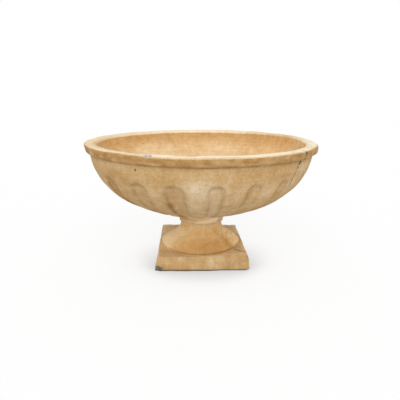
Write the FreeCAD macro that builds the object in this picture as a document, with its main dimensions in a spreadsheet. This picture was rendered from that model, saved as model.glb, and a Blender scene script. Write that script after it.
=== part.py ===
import FreeCAD, Part
import os
import re
import Sketcher

# A pedestal flower pot in cast stone: a fluted bowl on a bell-shaped socle and a square plinth,
# bedded in mortar and held together by a threaded drain tube. Millimetres, +Z up, the origin at the
# centre of the plinth's underside, the front towards -Y.

SIZES = [
    ("plinth_height", 50, "thickness of the square base slab"),
    ("plinth_margin", 11, "plinth's top edge to the socle's foot"),
    ("plinth_draft", 5, "how much wider each side is at the ground"),
    ("plinth_round", 4, "worn edges of the plinth"),
    ("foot_bed_height", 3, "mortar between plinth and socle"),
    ("bed_setback", 2, "how far the mortar is raked back"),
    ("socle_height", 71, "height of the socle casting"),
    ("foot_radius", 125, "socle at its foot"),
    ("foot_lip", 1, "upright edge of the socle's foot"),
    ("foot_round", 3, "rounding above that edge"),
    ("skirt_slope", 30, "slope of the socle's skirt, degrees"),
    ("throat_round", 40, "hollow from the skirt in to the waist"),
    ("waist_radius", 65, "narrowest place of the socle"),
    ("waist_height", 60.5, "waist above the socle's foot"),
    ("neck_round", 12, "hollow from the waist out to the joint"),
    ("neck_radius", 71.5, "joint where socle and bowl meet"),
    ("neck_bed_height", 3, "mortar between socle and bowl"),
    ("stub_height", 22.5, "bowl's stub, up to the belly's lowest level"),
    ("stub_flare_width", 33, "how far the stub spreads from the joint"),
    ("stub_flare_height", 35, "height over which the stub spreads"),
    ("stub_flare_round", 120, "hollow sweep of the stub"),
    ("belly_depth", 206.5, "belly's half ellipse, widest level to lowest"),
    ("belly_drop", 21, "rim top down to the belly's widest level"),
    ("rim_radius", 350, "outside of the rim"),
    ("rim_width", 36, "flat top of the rim"),
    ("rim_overhang", 15.5, "rim beyond the belly"),
    ("rim_band_height", 27, "rim top to its underside"),
    ("rim_lean", 3, "rim face leans in towards its lower edge"),
    ("rim_top_round", 4, "outer top edge of the rim"),
    ("rim_under_round", 9, "outer lower edge of the rim"),
    ("rim_inner_round", 5, "inner top edge of the rim"),
    ("floor_thickness", 34, "bowl's floor above the belly's lowest level"),
    ("flute_count", 20, "tongue flutes round the belly"),
    ("flute_width", 44, "across a flute at its head"),
    ("flute_depth", 7, "a flute's depth at its head"),
    ("flute_head_drop", 92, "rim top to the centre of a flute's head"),
    ("flute_end_radius", 92, "where the flutes die out in the stub"),
    ("flute_turn", 4.5, "first flute from the plinth's axis, degrees"),
    ("tube_radius", 13.2, "outside of the drain tube's thread"),
    ("tube_wall", 2.6, "wall of the drain tube"),
    ("tube_end", 3, "thread left standing beyond each backnut"),
    ("tube_chamfer", 1, "lead-in at each end of the tube"),
    ("bore_clearance", 1.8, "tube to the bores in the castings"),
    ("washer_radius", 32, "plate washers and rubber seal"),
    ("washer_thickness", 3, "plate washers"),
    ("washer_clearance", 0.6, "tube to the bore of washers and seal"),
    ("seal_thickness", 3, "rubber seal"),
    ("recess_clearance", 8, "washer to the wall of its recess"),
    ("bowl_recess_depth", 22, "drain recess in the bowl's floor"),
    ("plinth_recess_depth", 24, "recess under the plinth"),
    ("nut_wall", 6.5, "backnut's thread to its flats"),
    ("nut_height", 10, "thickness of a backnut"),
    ("nut_corner_bevel", 1.5, "height of the bevel on a backnut's corners"),
    ("thread_gap", 0.1, "play in the thread"),
]
# Where a flute's sections lie, as shares of the way from its head to its end. The first is a little
# below the head's centre, so that the channel starts inside the ball that makes the head.
FLUTE_STATIONS = [0.02, 0.17, 0.33, 0.5, 0.67, 0.83, 1]
TOUCH = 0.01

doc = FreeCAD.newDocument("flower_pot")
sheet = doc.addObject("Spreadsheet::Sheet", "sizes")
for row, (alias, number, note) in enumerate(SIZES, start=1):
    sheet.set("A%d" % row, str(number))
    sheet.setAlias("A%d" % row, alias)
    sheet.set("B%d" % row, note)
doc.recompute()
NAMES = [alias for alias, number, note in SIZES]


def cells(expression):
    """The expression with each size's name written as its cell of the sheet."""
    return re.sub(r"[a-z_]+", lambda word: "sizes." + word[0] if word[0] in NAMES else word[0], expression)


def drive(item, target, expression):
    """Binds one property of a document object to the sheet."""
    item.setExpression(target, cells(expression))


def value(expression):
    """The expression's present value, in millimetres or degrees."""
    found = sheet.evalExpression(cells(expression))
    return float(getattr(found, "Value", found))


# Sizes and levels that several pieces share
BORE_RADIUS = "( tube_radius + bore_clearance )"
WASHER_BORE = "( tube_radius + washer_clearance )"
NUT_BORE = "( tube_radius + thread_gap )"
RECESS_RADIUS = "( washer_radius + recess_clearance )"
NUT_HALF_FLATS = "( tube_radius + nut_wall )"
SOCLE_LEVEL = "( plinth_height + foot_bed_height )"
NECK_LEVEL = "( plinth_height + foot_bed_height + socle_height )"
BOWL_LEVEL = "( plinth_height + foot_bed_height + socle_height + neck_bed_height )"
BELLY_LEVEL = "( stub_height + belly_depth )"
BOWL_HEIGHT = "( stub_height + belly_depth + belly_drop )"
BELLY_RADIUS = "( rim_radius - rim_overhang )"
HOLLOW_RADIUS = "( rim_radius - rim_width )"
HOLLOW_DEPTH = "( belly_depth + belly_drop - floor_thickness )"
RECESS_FLOOR = "( stub_height + floor_thickness - bowl_recess_depth )"
SEAL_LEVEL = "( %s + %s )" % (BOWL_LEVEL, RECESS_FLOOR)
UPPER_WASHER_LEVEL = "( %s + seal_thickness )" % SEAL_LEVEL
UPPER_NUT_LEVEL = "( %s + washer_thickness )" % UPPER_WASHER_LEVEL
TUBE_TOP = "( %s + nut_height + tube_end )" % UPPER_NUT_LEVEL
LOWER_WASHER_LEVEL = "( plinth_recess_depth - washer_thickness )"
LOWER_NUT_LEVEL = "( plinth_recess_depth - washer_thickness - nut_height )"
TUBE_BOTTOM = "( plinth_recess_depth - washer_thickness - nut_height - tube_end )"


def new_body(name, level="0"):
    body = doc.addObject("PartDesign::Body", name)
    body.Label = name
    drive(body, "Placement.Base.z", level)
    return body


def origin_feature(body, role):
    return next(item for item in body.Origin.OriginFeatures if item.Role == role)


def attach(item, body, role):
    item.AttachmentSupport = (origin_feature(body, role), [""])
    item.MapMode = "FlatFace"


def new_sketch(body, name, role):
    sketch = body.newObject("Sketcher::SketchObject", name)
    attach(sketch, body, role)
    return sketch


def bind(sketch, constraint, expression):
    index = sketch.addConstraint(constraint)
    drive(sketch, "Constraints[%d]" % index, expression)


def draw_outline(sketch, points, arcs=None):
    """Closed outline through points given as expressions. arcs maps an edge's index to the
    expression of its radius and to +1 or -1, the side on which its centre lies, left or right."""
    arcs = arcs or {}
    places = [FreeCAD.Vector(value(x), value(y), 0) for x, y in points]
    count = len(points)
    for index in range(count):
        start = places[index]
        end = places[(index + 1) % count]
        if index not in arcs:
            sketch.addGeometry(Part.LineSegment(start, end))
            continue
        radius, side = arcs[index]
        middle = (start + end) * 0.5
        chord = end - start
        across = FreeCAD.Vector(-chord.y, chord.x, 0).normalize() * side
        rise = (value(radius) ** 2 - (chord.Length / 2) ** 2) ** 0.5
        top = middle + across * (rise - value(radius))
        ends = (start, end) if side > 0 else (end, start)
        sketch.addGeometry(Part.Arc(ends[0], top, ends[1]))
    for index in range(count):
        here = points[index]
        first = 2 if index in arcs and arcs[index][1] < 0 else 1
        before = (index - 1) % count
        last = 1 if before in arcs and arcs[before][1] < 0 else 2
        sketch.addConstraint(Sketcher.Constraint("Coincident", before, last, index, first))
        bind(sketch, Sketcher.Constraint("DistanceX", -1, 1, index, first, places[index].x), here[0])
        bind(sketch, Sketcher.Constraint("DistanceY", -1, 1, index, first, places[index].y), here[1])
    for index, (radius, side) in arcs.items():
        bind(sketch, Sketcher.Constraint("Radius", index, value(radius)), radius)


def turned(body, kind, name, points, arcs=None):
    """Outline in the XZ plane turned about the body's Z axis, as a Revolution or a Groove."""
    sketch = new_sketch(body, name + "_outline", "XZ_Plane")
    draw_outline(sketch, points, arcs)
    feature = body.newObject(kind, name)
    feature.Profile = sketch
    feature.ReferenceAxis = (sketch, ["V_Axis"])
    feature.Angle = 360
    return feature


def ring(name, level, inner, outer, height):
    """Plain ring with a rectangular section, such as a washer or a mortar bed."""
    body = new_body(name, level)
    corners = [(inner, "0"), (outer, "0"), (outer, height), (inner, height)]
    turned(body, "PartDesign::Revolution", name + "_ring", corners)
    return body


def edge_names(shape, wanted):
    return ["Edge%d" % (index + 1) for index, edge in enumerate(shape.Edges) if wanted(edge)]


def build_plinth():
    """Square slab that narrows upwards by the mould's draft, with worn edges, a bore for the tube and
    a recess for its lower backnut."""
    body = new_body("plinth")
    sketch = new_sketch(body, "plinth_square", "XY_Plane")
    half = "( foot_radius + plinth_margin + plinth_draft )"
    low = "-" + half
    draw_outline(sketch, [(low, low), (half, low), (half, half), (low, half)])
    slab = body.newObject("PartDesign::Pad", "plinth_slab")
    slab.Profile = sketch
    drive(slab, "Length", "plinth_height")
    drive(slab, "TaperAngle", "atan( -plinth_draft / plinth_height )")
    doc.recompute()
    worn = edge_names(slab.Shape, lambda edge: edge.CenterOfMass.z > TOUCH)
    edges = body.newObject("PartDesign::Fillet", "plinth_worn_edges")
    edges.Base = (slab, worn)
    drive(edges, "Radius", "plinth_round")
    depth = "plinth_recess_depth"
    top = "plinth_height"
    steps = [("0", "0"), (RECESS_RADIUS, "0"), (RECESS_RADIUS, depth), (BORE_RADIUS, depth),
             (BORE_RADIUS, top), ("0", top)]
    turned(body, "PartDesign::Groove", "plinth_bore", steps)
    return body


def build_socle():
    """Bell-shaped foot: a rounded edge, a sloping skirt, a hollow throat in to the waist and a short
    flare out to the joint under the bowl."""
    body = new_body("socle", SOCLE_LEVEL)
    top = "socle_height"
    lean = "( 1 - sin( skirt_slope ) )"
    skirt_foot = ("foot_radius - foot_round * " + lean, "foot_lip + foot_round * cos( skirt_slope )")
    skirt_top = ("waist_radius + throat_round * " + lean, "waist_height - throat_round * cos( skirt_slope )")
    outline = [(BORE_RADIUS, "0"), ("foot_radius", "0"), ("foot_radius", "foot_lip"), skirt_foot, skirt_top,
               ("waist_radius", "waist_height"), ("neck_radius", top), (BORE_RADIUS, top)]
    arcs = {2: ("foot_round", 1), 4: ("throat_round", -1), 5: ("neck_round", -1)}
    turned(body, "PartDesign::Revolution", "socle_bell", outline, arcs)
    return body


def flute_section(station):
    """Where a flute's section lies on the belly: its radius, its level, the slope of the belly's
    outward normal below the horizontal, and its size as a share of the flute's head."""
    head = "asin( ( flute_head_drop - belly_drop ) / belly_depth )"
    end = "acos( flute_end_radius / %s )" % BELLY_RADIUS
    angle = "( %s + ( %s - %s ) * %s )" % (head, end, head, station)
    radius = "( %s * cos( %s ) )" % (BELLY_RADIUS, angle)
    level = "( %s - belly_depth * sin( %s ) )" % (BELLY_LEVEL, angle)
    slope = "atan2( %s * sin( %s ) ; belly_depth * cos( %s ) )" % (BELLY_RADIUS, angle, angle)
    share = "( cos( %s ) / cos( %s ) )" % (angle, head)
    return radius, level, slope, share


def cut_flutes(body):
    """Sunken tongues down the belly. A flute is a ball's cap at its head, and below it a tapering
    round channel that follows the belly's ellipse down to the stub."""
    ball_radius = "( ( flute_width ^ 2 / 4 + flute_depth ^ 2 ) / ( 2 * flute_depth ) )"
    stand_off = "( %s - flute_depth )" % ball_radius
    radius, level, slope, share = flute_section(0)
    head = body.newObject("PartDesign::SubtractiveSphere", "flute_head")
    attach(head, body, "XY_Plane")
    drive(head, "Radius", ball_radius)
    drive(head, "AttachmentOffset.Base.x", "%s + %s * cos( %s )" % (radius, stand_off, slope))
    drive(head, "AttachmentOffset.Base.z", "%s - %s * sin( %s )" % (level, stand_off, slope))
    sections = []
    for station in FLUTE_STATIONS:
        radius, level, slope, share = flute_section(station)
        sketch = new_sketch(body, "flute_section_%d" % len(sections), "XY_Plane")
        sketch.AttachmentOffset = FreeCAD.Placement(
            FreeCAD.Vector(value(radius), 0, value(level)),
            FreeCAD.Rotation(FreeCAD.Vector(0, 1, 0), value(slope)))
        drive(sketch, "AttachmentOffset.Base.x", radius)
        drive(sketch, "AttachmentOffset.Base.z", level)
        drive(sketch, "AttachmentOffset.Rotation.Angle", slope)
        centre = "%s * %s" % (stand_off, share)
        round_size = "%s * %s" % (ball_radius, share)
        middle = FreeCAD.Vector(value(centre), 0, 0)
        sketch.addGeometry(Part.Circle(middle, FreeCAD.Vector(0, 0, 1), value(round_size)))
        sketch.addConstraint(Sketcher.Constraint("PointOnObject", 0, 3, -1))
        bind(sketch, Sketcher.Constraint("DistanceX", -1, 1, 0, 3, middle.x), centre)
        bind(sketch, Sketcher.Constraint("Radius", 0, value(round_size)), round_size)
        sections.append(sketch)
    channel = body.newObject("PartDesign::SubtractiveLoft", "flute_channel")
    channel.Profile = sections[0]
    channel.Sections = sections[1:]
    doc.recompute()
    flutes = body.newObject("PartDesign::PolarPattern", "flutes")
    flutes.Originals = [head, channel]
    flutes.Axis = (origin_feature(body, "Z_Axis"), [""])
    flutes.Angle = 360
    drive(flutes, "Occurrences", "flute_count")
    body.Tip = flutes
    doc.recompute()


def build_bowl():
    """Fluted half ellipsoid with a rim band, hollowed by a second ellipsoid, on a flared stub."""
    body = new_body("bowl", BOWL_LEVEL)
    body.Placement = FreeCAD.Placement(
        FreeCAD.Vector(0, 0, value(BOWL_LEVEL)),
        FreeCAD.Rotation(FreeCAD.Vector(0, 0, 1), value("flute_turn")))
    drive(body, "Placement.Rotation.Angle", "flute_turn")
    belly = body.newObject("PartDesign::AdditiveEllipsoid", "belly")
    attach(belly, body, "XY_Plane")
    drive(belly, "Radius1", "belly_depth")
    drive(belly, "Radius2", BELLY_RADIUS)
    drive(belly, "Radius3", BELLY_RADIUS)
    belly.Angle2 = 0
    drive(belly, "AttachmentOffset.Base.z", BELLY_LEVEL)
    doc.recompute()
    cut_flutes(body)
    flare_top = "stub_flare_height"
    flare_outer = "neck_radius + stub_flare_width"
    stub = [("0", "0"), ("neck_radius", "0"), (flare_outer, flare_top), ("0", flare_top)]
    turned(body, "PartDesign::Revolution", "stub", stub, {1: ("stub_flare_round", -1)})
    doc.recompute()
    inner = "%s - rim_width" % HOLLOW_RADIUS
    under = "%s - rim_band_height" % BOWL_HEIGHT
    face_foot = "rim_radius - rim_lean"
    band = [(inner, under), (face_foot + " - rim_under_round", under),
            (face_foot, under + " + rim_under_round"),
            ("rim_radius", BOWL_HEIGHT + " - rim_top_round"),
            ("rim_radius - rim_top_round", BOWL_HEIGHT), (inner, BOWL_HEIGHT)]
    arcs = {1: ("rim_under_round", 1), 3: ("rim_top_round", 1)}
    turned(body, "PartDesign::Revolution", "rim_band", band, arcs)
    doc.recompute()
    hollow = body.newObject("PartDesign::SubtractiveEllipsoid", "hollow")
    attach(hollow, body, "XY_Plane")
    drive(hollow, "Radius1", HOLLOW_DEPTH)
    drive(hollow, "Radius2", HOLLOW_RADIUS)
    drive(hollow, "Radius3", HOLLOW_RADIUS)
    drive(hollow, "AttachmentOffset.Base.z", BOWL_HEIGHT)
    doc.recompute()
    top = value(BOWL_HEIGHT)
    flat_middle = value("rim_radius - rim_width / 2")

    def is_mouth(edge):
        box = edge.BoundBox
        return abs(box.ZMin - top) < TOUCH and abs(box.ZMax - top) < TOUCH and box.XMax < flat_middle

    lip = body.newObject("PartDesign::Fillet", "rim_inner_edge")
    lip.Base = (hollow, edge_names(hollow.Shape, is_mouth))
    drive(lip, "Radius", "rim_inner_round")
    doc.recompute()
    recess_top = "stub_height + floor_thickness + recess_clearance"
    steps = [("0", "0"), (BORE_RADIUS, "0"), (BORE_RADIUS, RECESS_FLOOR), (RECESS_RADIUS, RECESS_FLOOR),
             (RECESS_RADIUS, recess_top), ("0", recess_top)]
    turned(body, "PartDesign::Groove", "drain", steps)
    return body


def build_tube():
    """Threaded tie tube with a lead-in bevel at each end."""
    body = new_body("tie_tube")
    inner = "tube_radius - tube_wall"
    bevel = "tube_radius - tube_chamfer"
    outline = [(inner, TUBE_BOTTOM), (bevel, TUBE_BOTTOM),
               ("tube_radius", TUBE_BOTTOM + " + tube_chamfer"),
               ("tube_radius", TUBE_TOP + " - tube_chamfer"),
               (bevel, TUBE_TOP), (inner, TUBE_TOP)]
    turned(body, "PartDesign::Revolution", "tube_wall_ring", outline)
    return body


def build_backnut(name, level):
    """Hexagon backnut, bored for the tube, with its corners bevelled on both faces."""
    body = new_body(name, level)
    half = NUT_HALF_FLATS
    corner = "( %s / cos( 30 ) )" % half
    sketch = new_sketch(body, name + "_hexagon", "XY_Plane")
    corners = [("%s * cos( %d )" % (corner, turn), "%s * sin( %d )" % (corner, turn))
               for turn in range(0, 360, 60)]
    draw_outline(sketch, corners)
    blank = body.newObject("PartDesign::Pad", name + "_blank")
    blank.Profile = sketch
    drive(blank, "Length", "nut_height")
    doc.recompute()
    height = "nut_height"
    bevel = "nut_corner_bevel"
    outside = "%s + nut_corner_bevel" % corner
    turned(body, "PartDesign::Groove", name + "_bore",
           [("0", "0"), (NUT_BORE, "0"), (NUT_BORE, height), ("0", height)])
    doc.recompute()
    turned(body, "PartDesign::Groove", name + "_lower_bevel",
           [(half, "0"), (outside, "0"), (outside, bevel), (corner, bevel)])
    doc.recompute()
    turned(body, "PartDesign::Groove", name + "_upper_bevel",
           [(half, height), (corner, "%s - %s" % (height, bevel)),
            (outside, "%s - %s" % (height, bevel)), (outside, height)])
    return body


def build_all():
    foot_bed_outer = "foot_radius - bed_setback"
    neck_bed_outer = "neck_radius - bed_setback"
    return [
        build_plinth(),
        ring("foot_bed", "plinth_height", BORE_RADIUS, foot_bed_outer, "foot_bed_height"),
        build_socle(),
        ring("neck_bed", NECK_LEVEL, BORE_RADIUS, neck_bed_outer, "neck_bed_height"),
        build_bowl(),
        build_tube(),
        ring("upper_seal", SEAL_LEVEL, WASHER_BORE, "washer_radius", "seal_thickness"),
        ring("upper_washer", UPPER_WASHER_LEVEL, WASHER_BORE, "washer_radius", "washer_thickness"),
        build_backnut("upper_backnut", UPPER_NUT_LEVEL),
        ring("lower_washer", LOWER_WASHER_LEVEL, WASHER_BORE, "washer_radius", "washer_thickness"),
        build_backnut("lower_backnut", LOWER_NUT_LEVEL),
    ]


pieces = build_all()
doc.recompute()
for item in doc.Objects:
    if "Invalid" in item.State or "Error" in item.State:
        raise RuntimeError("%s failed: %s" % (item.Name, item.State))
for piece in pieces:
    shape = piece.Shape
    if shape.isNull() or not shape.isValid() or len(shape.Solids) != 1:
        raise RuntimeError("%s has no single valid solid" % piece.Label)

os.makedirs("parts", exist_ok=True)
for piece in pieces:
    piece.Shape.exportStep("parts/%s.step" % piece.Label)
    print("%-14s %9.0f mm3" % (piece.Label, piece.Shape.Volume))
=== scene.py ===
from math import acos, asin, atan2, cos, degrees, pi, radians, sin, sqrt, tan
from types import SimpleNamespace
import bpy
import numpy as np
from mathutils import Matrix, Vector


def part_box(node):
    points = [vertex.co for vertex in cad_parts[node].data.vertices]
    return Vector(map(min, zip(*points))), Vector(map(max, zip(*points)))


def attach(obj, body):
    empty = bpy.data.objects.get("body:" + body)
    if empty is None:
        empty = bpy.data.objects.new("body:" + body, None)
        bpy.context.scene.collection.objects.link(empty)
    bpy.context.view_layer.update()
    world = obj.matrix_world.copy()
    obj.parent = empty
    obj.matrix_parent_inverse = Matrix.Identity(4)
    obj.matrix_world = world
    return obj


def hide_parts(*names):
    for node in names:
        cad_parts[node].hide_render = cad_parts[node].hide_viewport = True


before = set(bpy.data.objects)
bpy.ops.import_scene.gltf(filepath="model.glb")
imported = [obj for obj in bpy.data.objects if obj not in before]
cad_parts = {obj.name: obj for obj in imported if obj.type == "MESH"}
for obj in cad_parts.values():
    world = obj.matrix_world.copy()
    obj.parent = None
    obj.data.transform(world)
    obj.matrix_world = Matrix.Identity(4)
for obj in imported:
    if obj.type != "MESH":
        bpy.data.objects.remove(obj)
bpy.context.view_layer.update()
print("frame loaded:", len(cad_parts), "nodes")

# Shapes are worked out in millimetres in the CAD frame and become metres in their meshes.
# Angles round the axis are in degrees from the front (-Y), positive towards +X.


def named(values):  # a dictionary whose values are read by name
    return SimpleNamespace(**values)


def boxOf(node):  # a CAD node's lowest and highest corner, in millimetres
    low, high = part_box(node)
    return np.array(low) * 1000, np.array(high) * 1000


def bell(values, centre, width):  # exp(-((value - centre) / width)^2)
    return np.exp(-((values - centre) / width) ** 2)


def ease(values, low, high):  # 0 below low, 1 above high, 3t^2 - 2t^3 between
    t = np.clip((values - low) / (high - low), 0, 1)
    return t * t * (3 - 2 * t)


def turnFrom(angles, centre):  # shortest turn from centre to each angle, -180 to 180
    return (angles - centre + 180) % 360 - 180


def near(angles, centre, width):  # bell of the turn from centre
    return bell(turnFrom(angles, centre), 0, width)


def among(part, first, last):  # the rows between two runs of a profile, both included
    return (part >= first) & (part <= last)


def strongest(*masks):  # the largest value at each point of several masks
    return np.maximum.reduce(np.broadcast_arrays(*masks))


# Sum of sines along random directions with wavelengths near size: zero mean, about unit spread.
def waveNoise(points, size, seed, waves=28):
    draw = np.random.default_rng(seed)
    ways = draw.normal(size=(waves, 3))
    ways /= np.linalg.norm(ways, axis=1, keepdims=True)
    ways *= 2 * np.pi / (size * draw.uniform(0.7, 1.5, size=(waves, 1)))
    phases = draw.uniform(0, 2 * np.pi, size=waves)
    return np.sin(points @ ways.T + phases).sum(axis=-1) * sqrt(2 / waves)


# Angles round the axis, closer together near each focus (angle, width, strength): equal shares of
# the running sum of 1 + strength * bell.
def ringAngles(count, focus=()):
    fine = np.linspace(-180, 180, 14401)
    density = np.ones_like(fine)
    for centre, width, strength in focus:
        density += strength * bell(fine, centre, width)
    total = np.concatenate([[0], np.cumsum(density[1:] + density[:-1])])
    return np.interp(np.arange(count) / count * total[-1], total, fine)


denseStep = 0.25  # spacing of a profile's points before the rows are picked


def straightRun(start, end):  # points from start towards end, the end left out
    start, end = np.array(start, float), np.array(end, float)
    count = max(int(np.linalg.norm(end - start) / denseStep), 4)
    return start + (end - start) * np.arange(count)[:, None] / count


def cornerRuns(corners, rows):  # straight runs round a closed line of corners
    return [(straightRun(*ends), count) for *ends, count in zip(corners, corners[1:] + corners[:1], rows)]


def curveRun(centre, radii, first, last):  # circle or ellipse from angle first to last, last left out
    count = max(int(abs(radians(last - first)) * np.max(radii) / denseStep), 8)
    turn = np.radians(first + (last - first) * np.arange(count) / count)
    return centre + np.stack([np.cos(turn), np.sin(turn)], axis=1) * radii


def hollowRun(start, end, radius):  # arc from start to end whose centre lies to the right of the way
    start, end = np.array(start, float), np.array(end, float)
    chord = end - start
    length = np.linalg.norm(chord)
    across = np.array([chord[1], -chord[0]]) / length
    centre = (start + end) / 2 + across * sqrt(radius ** 2 - length ** 2 / 4)
    first, last = [degrees(atan2(p[1] - centre[1], p[0] - centre[0])) for p in (start, end)]
    return curveRun(centre, radius, first, first + turnFrom(last, first))


# A closed profile from runs of points: a Gaussian of the given width along the loop wears its corners round,
# and each run keeps as many evenly spaced points as its row count.
def wornLoop(runs, wear):
    dense = np.concatenate([points for points, rows in runs])
    reach = np.arange(-int(4 * wear / denseStep), int(4 * wear / denseStep) + 1)
    weights = bell(reach * denseStep, 0, wear * sqrt(2))
    weights /= weights.sum()
    worn = sum(w * np.roll(dense, -k, axis=0) for k, w in zip(reach, weights))
    picks, parts, start = [], [], 0
    for index, (points, rows) in enumerate(runs):
        picks.append(start + (np.arange(rows) * len(points)) // rows)
        parts.append(np.full(rows, index))
        start += len(points)
    return worn[np.concatenate(picks)], np.concatenate(parts)


# Worn profile turned round the axis: x = r sin(angle), y = -r cos(angle), z = level. Also gives the radius, level
# and run of each row, and the angle of each column.
def turnedGrid(runs, wear, columns, focus=()):
    profile, part = wornLoop(runs, wear)
    angles = ringAngles(columns, focus)[None, :]
    turn, radius, level = np.radians(angles), profile[:, 0:1], profile[:, 1:2]
    points = np.stack([radius * np.sin(turn), -radius * np.cos(turn), level + 0 * turn], axis=-1)
    return points, radius, level, part[:, None], angles


def outwards(points):  # unit vectors away from the axis
    flat = points * [1, 1, 0]
    return flat / np.maximum(np.linalg.norm(flat, axis=-1, keepdims=True), 1e-6)


# Unit normals of a grid that closes both ways: the step round the axis across the step up the profile.
def gridNormals(points):
    along = np.roll(points, -1, axis=1) - np.roll(points, 1, axis=1)
    rising = np.roll(points, -1, axis=0) - np.roll(points, 1, axis=0)
    normals = np.cross(along, rising)
    return normals / np.maximum(np.linalg.norm(normals, axis=2, keepdims=True), 1e-9)


# Points inside an ellipsoid go out along their ray to its roughened surface. Also gives the share, 0 to 1, by
# which each was broken away.
def scoop(points, centre, radii, seed, rough=0.05, grain=7):
    ray = points - np.array(centre, float)
    far = np.linalg.norm(ray / np.array(radii, float), axis=-1) / (1 + rough * waveNoise(points, grain, seed))
    moved = np.where((far < 1)[..., None], np.array(centre) + ray / far[..., None], points)
    return moved, ease(np.linalg.norm(moved - points, axis=-1), 0.05, 0.9)


# Distance from the grid to a broken line, both on a flat chart of the surface.
def lineDistance(across, up, path):
    best = np.full(np.broadcast(across, up).shape, 1e6)
    for (x0, y0), (x1, y1) in zip(path[:-1], path[1:]):
        dx, dy = x1 - x0, y1 - y0
        t = np.clip(((across - x0) * dx + (up - y0) * dy) / (dx * dx + dy * dy), 0, 1)
        best = np.minimum(best, np.hypot(across - x0 - t * dx, up - y0 - t * dy))
    return best


def stand(name, data):  # an object in the scene that shows the data
    thing = bpy.data.objects.new(name, data)
    bpy.context.scene.collection.objects.link(thing)
    return thing


# Mesh over a grid that closes both ways, quads turned outwards, with one value per point for each mask.
def closedPiece(name, points, masks, material, slotName, *nodes):
    rows, columns = points.shape[:2]
    i, j = np.meshgrid(np.arange(rows), np.arange(columns), indexing="ij")
    iNext, jNext = (i + 1) % rows, (j + 1) % columns
    corners = [i * columns + j, i * columns + jNext, iNext * columns + jNext, iNext * columns + j]
    quads = np.stack(corners, axis=-1)
    mesh = bpy.data.meshes.new(name)
    mesh.from_pydata(points.reshape(-1, 3) * 0.001, [], quads.reshape(-1, 4))
    for mask, values in masks.items():
        values = np.broadcast_to(values, (rows, columns)).astype(np.float32)
        mesh.attributes.new(mask, "FLOAT", "POINT").data.foreach_set("value", values.ravel())
    mesh.shade_smooth()
    mesh.materials.append(material)
    piece = stand(name, mesh)
    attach(piece, "root")
    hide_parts(*nodes)
    print(name, "built:", 2 * rows * columns, "triangles")


# Materials

def paint(red, green, blue):  # a colour as it looks on screen, 0 to 255, made linear
    shares = [v / 255 for v in (red, green, blue)]
    return tuple(v / 12.92 if v <= 0.04045 else ((v + 0.055) / 1.055) ** 2.4 for v in shares) + (1.0,)


def feed(tree, socket, value):  # links an input to another node's output, or sets its value
    if isinstance(value, bpy.types.NodeSocket):
        tree.links.new(value, socket)
    else:
        socket.default_value = value


# A shader node with its properties and inputs set by name, then inputs by number.
def addNode(tree, kind, *numbered, **values):
    node = tree.nodes.new("ShaderNode" + kind)
    for key, value in values.items():
        if hasattr(node, key):
            setattr(node, key, value)
        else:
            socket = next(s for s in node.inputs if s.enabled and s.name == key.replace("_", " "))
            feed(tree, socket, value)
    for index, value in numbered:
        feed(tree, node.inputs[index], value)
    return node


def noiseAt(tree, vector, scale, detail=3.0, rough=0.55):
    node = addNode(tree, "TexNoise", Vector=vector, Scale=scale, Detail=detail, Roughness=rough)
    return node.outputs[0]


def stretched(tree, vector, scale):  # the pattern's own coordinates, drawn out along an axis
    return addNode(tree, "Mapping", Vector=vector, Scale=scale).outputs[0]


def between(tree, value, low, high, toLow=0.0, toHigh=1.0):
    names = dict(Value=value, From_Min=low, From_Max=high, To_Min=toLow, To_Max=toHigh)
    return addNode(tree, "MapRange", **names).outputs[0]


def maths(tree, operation, first, second):
    return addNode(tree, "Math", (0, first), (1, second), operation=operation).outputs[0]


def mixed(tree, share, first, second, blend="MIX"):  # inputs 6 and 7 are the two colours
    node = addNode(tree, "Mix", (0, share), (6, first), (7, second), data_type="RGBA", blend_type=blend)
    return node.outputs[2]


floatSockets = "Wash Unevenness Mask Pinholes Height Holes Rough Age".split()


def newGroup(name, inputs, outputs):  # an empty shader group with named sockets
    tree = bpy.data.node_groups.new(name, "ShaderNodeTree")
    for way, sockets in (("INPUT", inputs), ("OUTPUT", outputs)):
        for socket in sockets.split():
            kind = "Vector" if socket == "Vector" else "Float" if socket in floatSockets else "Color"
            tree.interface.new_socket(socket, in_out=way, socket_type="NodeSocket" + kind)
    return tree, tree.nodes.new("NodeGroupInput").outputs, tree.nodes.new("NodeGroupOutput").inputs


def placeGroup(tree, group, **values):
    return addNode(tree, "Group", node_tree=group, **values).outputs


# Ochre wash over pale cast stone: the wash's depth at a point is its mask plus cloudy blotches,
# mottling, runs down the face and fine turning lines round it.
def makeWash():
    tree, given, put = newGroup("ochreWash", "Vector Wash Unevenness Bare Pale Ochre Umber", "Color")
    vector = given["Vector"]
    layers = [(noiseAt(tree, vector, 11, 4), 0.55),
              (noiseAt(tree, vector, 48, 4, 0.62), 0.80),
              (noiseAt(tree, stretched(tree, vector, (70, 70, 14)), 1, 3), 0.24),
              (noiseAt(tree, stretched(tree, vector, (7, 7, 130)), 1, 3), 0.34),
              (noiseAt(tree, vector, 210, 3, 0.7), 1.0)]
    depth = 0.0
    for pattern, weight in layers:
        layer = maths(tree, "MULTIPLY", maths(tree, "SUBTRACT", pattern, 0.5), weight)
        depth = maths(tree, "ADD", layer, depth)
    depth = maths(tree, "ADD", maths(tree, "MULTIPLY", depth, given["Unevenness"]), given["Wash"])
    colour = mixed(tree, between(tree, depth, -0.5, 0.0), given["Bare"], given["Pale"])
    colour = mixed(tree, between(tree, depth, 0.0, 0.6), colour, given["Ochre"])
    colour = mixed(tree, between(tree, depth, 0.6, 1.2), colour, given["Umber"])
    feed(tree, put["Color"], colour)
    return tree


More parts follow.
